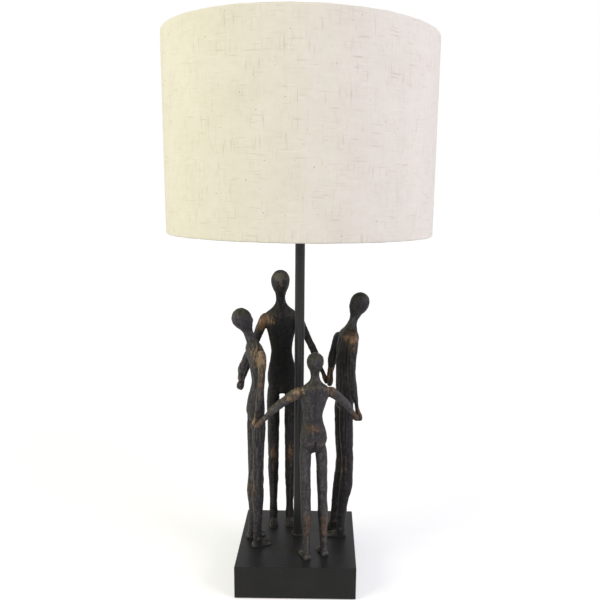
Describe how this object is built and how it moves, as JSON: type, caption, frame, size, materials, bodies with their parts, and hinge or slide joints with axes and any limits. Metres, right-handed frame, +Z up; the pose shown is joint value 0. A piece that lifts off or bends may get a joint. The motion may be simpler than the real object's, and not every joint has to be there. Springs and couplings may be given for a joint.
{
  "type": "figural table lamp",
  "caption": "Table lamp with slender bronze-toned figures holding hands round a black pole, on a black block under a linen drum shade.",
  "frame": {"origin": "on the table, under the axis of the pole", "axes": "+Z up along the pole; -Y is the front, the side that the smallest figure turns its back to; +X to the right seen from the front"},
  "size_m": [0.3, 0.3, 0.625],
  "materials": {
    "black_lacquer": "matt black lacquer over board",
    "felt": "black felt",
    "cover_sheet": "black sheet cover",
    "zinc_steel": "bright zinc plate",
    "iron": "rough grey iron",
    "black_rubber": "soft black rubber",
    "holder_plastic": "black moulded plastic",
    "black_pole": "satin black paint",
    "lead_sheath": "black flexible sheath",
    "core_brown": "brown insulation",
    "core_blue": "blue insulation",
    "porcelain": "white unglazed ceramic",
    "nickel": "nickel plate",
    "brass": "bright brass",
    "switch_plastic": "polished black plastic",
    "opal_glass": "satin opal glass",
    "dark_glass": "black glass insulator",
    "clear_glass": "clear glass",
    "phosphor": "yellow phosphor coat",
    "white_wire": "white coated wire",
    "linen": "natural linen weave with slubs",
    "liner": "smooth white lining sheet",
    "bronze_patina": "cold-cast resin, dark bronze patina rubbed to copper and gold on the high points"
  },
  "bodies": {
    "base": {"base_block": "black_lacquer", "felt_pad": "felt", "bottom_cover": "cover_sheet", "cord_gland": "black_rubber", "pole_tube": "black_pole", "pole_collar": "black_pole", "holder_cap": "holder_plastic", "holder_body": "holder_plastic", "figure_tall": "bronze_patina", "figure_left": "bronze_patina", "figure_right": "bronze_patina", "figure_child": "bronze_patina", "cover_screws": "zinc_steel", "ballast_plate": "iron", "ballast_screws": "zinc_steel", "figure_screws": "zinc_steel", "cord_clamp": "holder_plastic", "clamp_screws": "zinc_steel", "pole_washer": "zinc_steel", "pole_nut": "zinc_steel", "inner_lead": "lead_sheath", "lead_core_brown": "core_brown", "lead_core_blue": "core_blue", "holder_grub_screw": "zinc_steel", "holder_insert": "porcelain", "holder_shell": "nickel", "holder_contact": "brass", "terminal_blocks": "brass", "terminal_screws": "zinc_steel"},
    "switch": {"switch_bar": "switch_plastic"},
    "ring": {"shade_ring": "holder_plastic"},
    "shade": {"shade_spider": "white_wire", "shade_bottom_wire": "white_wire", "shade_top_wire": "white_wire", "shade_fabric": "linen", "shade_liner": "liner"},
    "bulb": {"bulb_glass": "opal_glass", "bulb_cap": "nickel", "bulb_insulator": "dark_glass", "bulb_contact": "brass", "bulb_stem": "clear_glass", "bulb_filaments": "phosphor"}
  },
  "joints": [
    {"name": "switch_push", "type": "slide", "parent": "base", "child": "switch", "axis": [1, 0, 0], "range_m": [0, 0.006]},
    {"name": "shade_turn", "type": "hinge", "parent": "base", "child": "shade", "pos_m": [0, 0, 0.452], "axis": [0, 0, 1], "continuous": true},
    {"name": "ring_lift", "type": "slide", "parent": "base", "child": "ring", "axis": [0, 0, 1], "range_m": [0, 0.0225]},
    {"name": "bulb_lift", "type": "slide", "parent": "base", "child": "bulb", "axis": [0, 0, 1], "range_m": [0, 0.035]}
  ]
}
